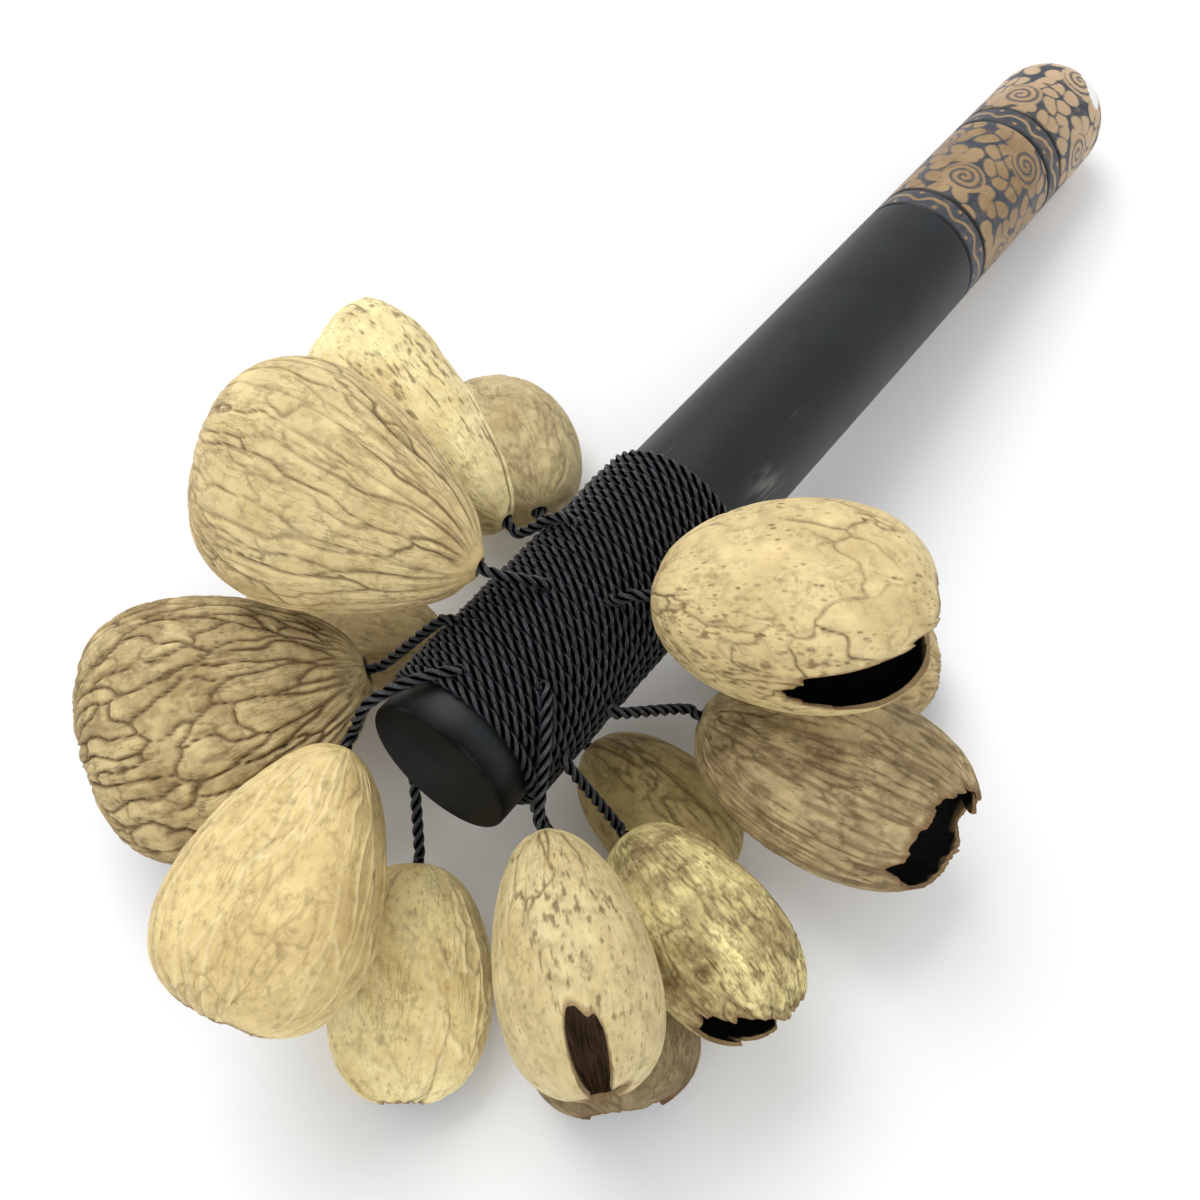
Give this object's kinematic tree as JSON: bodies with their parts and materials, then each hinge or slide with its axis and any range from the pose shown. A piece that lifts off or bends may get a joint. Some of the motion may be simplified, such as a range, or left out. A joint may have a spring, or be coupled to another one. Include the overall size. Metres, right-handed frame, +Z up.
{
  "type": "nut shell rattle",
  "caption": "Hand rattle: a round wooden stick with a cord winding near its front, from which dried hollow nut shells hang on short cords and clack together when shaken.",
  "frame": {"origin": "under the middle of the whole rattle as it lies at rest, at the height of its lowest point", "axes": "+Z up, +Y along the stick from its front end to its domed tail"},
  "size_m": [0.1538, 0.2964, 0.0817],
  "materials": {
    "stick": "matte black paint, bare tan wood with dark ornament at the tail",
    "shell": "dry nut shell, veined and matte",
    "cord": "black twisted cord"
  },
  "bodies": {
    "stick": {"handle_stick": "stick", "cord_winding": "cord"},
    "hung_shell_01": {"shell_01": "shell", "tether_01": "cord", "knot_01": "cord"},
    "hung_shell_02": {"shell_02": "shell", "tether_02": "cord", "knot_02": "cord"},
    "hung_shell_03": {"shell_03": "shell", "tether_03": "cord", "knot_03": "cord"},
    "hung_shell_04": {"shell_04": "shell", "tether_04": "cord", "knot_04": "cord"},
    "hung_shell_05": {"shell_05": "shell", "tether_05": "cord", "knot_05": "cord"},
    "hung_shell_06": {"shell_06": "shell", "tether_06": "cord", "knot_06": "cord"},
    "hung_shell_07": {"shell_07": "shell", "tether_07": "cord", "knot_07": "cord"},
    "hung_shell_08": {"shell_08": "shell", "tether_08": "cord", "knot_08": "cord"},
    "hung_shell_09": {"shell_09": "shell", "tether_09": "cord", "knot_09": "cord"},
    "hung_shell_10": {"shell_10": "shell", "tether_10": "cord", "knot_10": "cord"},
    "hung_shell_11": {"shell_11": "shell", "tether_11": "cord", "knot_11": "cord"},
    "hung_shell_12": {"shell_12": "shell", "tether_12": "cord", "knot_12": "cord"},
    "hung_shell_13": {"shell_13": "shell", "tether_13": "cord", "knot_13": "cord"},
    "hung_shell_14": {"shell_14": "shell", "tether_14": "cord", "knot_14": "cord"}
  },
  "joints": [
    {"name": "shell_01_swing", "type": "hinge", "parent": "stick", "child": "hung_shell_01", "pos_m": [-0.00612, -0.06248, 0.05909], "axis": [-0.2589, 0.9659, 0], "range_deg": [0, 45]},
    {"name": "shell_02_swing", "type": "hinge", "parent": "stick", "child": "hung_shell_02", "pos_m": [-0.01643, -0.04715, 0.04969], "axis": [0.16, 0.76, -0.63], "range_deg": [0, 45]},
    {"name": "shell_03_swing", "type": "hinge", "parent": "stick", "child": "hung_shell_03", "pos_m": [-0.01803, -0.03586, 0.02962], "axis": [0.5305, 0.3303, -0.7807], "range_deg": [0, 40]},
    {"name": "shell_04_swing", "type": "hinge", "parent": "stick", "child": "hung_shell_04", "pos_m": [-0.01865, -0.07699, 0.0495], "axis": [-0.7507, 0.6606, 0], "range_deg": [0, 8]},
    {"name": "shell_05_swing", "type": "hinge", "parent": "stick", "child": "hung_shell_05", "pos_m": [-0.01545, -0.06834, 0.03001], "axis": [0.4093, 0.2795, -0.8685], "range_deg": [0, 24]},
    {"name": "shell_06_swing", "type": "hinge", "parent": "stick", "child": "hung_shell_06", "pos_m": [-0.01865, -0.085, 0.0506], "axis": [-0.9378, -0.1097, -0.3292], "range_deg": [0, 40]},
    {"name": "shell_07_swing", "type": "hinge", "parent": "stick", "child": "hung_shell_07", "pos_m": [-0.01437, -0.08716, 0.03141], "axis": [-0.3906, 0.2303, -0.8913], "range_deg": [0, 8]},
    {"name": "shell_08_swing", "type": "hinge", "parent": "stick", "child": "hung_shell_08", "pos_m": [0.01677, -0.08654, 0.04769], "axis": [-0.6556, -0.6754, 0.3377], "range_deg": [0, 40]},
    {"name": "shell_09_swing", "type": "hinge", "parent": "stick", "child": "hung_shell_09", "pos_m": [0.01047, -0.08668, 0.03025], "axis": [-0.592, -0.2609, -0.7626], "range_deg": [0, 15]},
    {"name": "shell_10_swing", "type": "hinge", "parent": "stick", "child": "hung_shell_10", "pos_m": [0.01705, -0.08171, 0.0438], "axis": [0, -0.9507, 0.3102], "range_deg": [0, 35]},
    {"name": "shell_11_swing", "type": "hinge", "parent": "stick", "child": "hung_shell_11", "pos_m": [0.01698, -0.0681, 0.04354], "axis": [0.1799, -0.7797, -0.5998], "range_deg": [0, 12]},
    {"name": "shell_12_swing", "type": "hinge", "parent": "stick", "child": "hung_shell_12", "pos_m": [0.00785, -0.05506, 0.05621], "axis": [0.54, -0.77, -0.34], "range_deg": [0, 45]},
    {"name": "shell_13_swing", "type": "hinge", "parent": "stick", "child": "hung_shell_13", "pos_m": [0.00184, -0.06609, 0.02335], "axis": [0.2512, 0.0804, 0.9646], "range_deg": [0, 12]},
    {"name": "shell_14_swing", "type": "hinge", "parent": "stick", "child": "hung_shell_14", "pos_m": [0.01047, -0.03594, 0.02326], "axis": [0.58, -0.54, 0.61], "range_deg": [0, 30]}
  ]
}
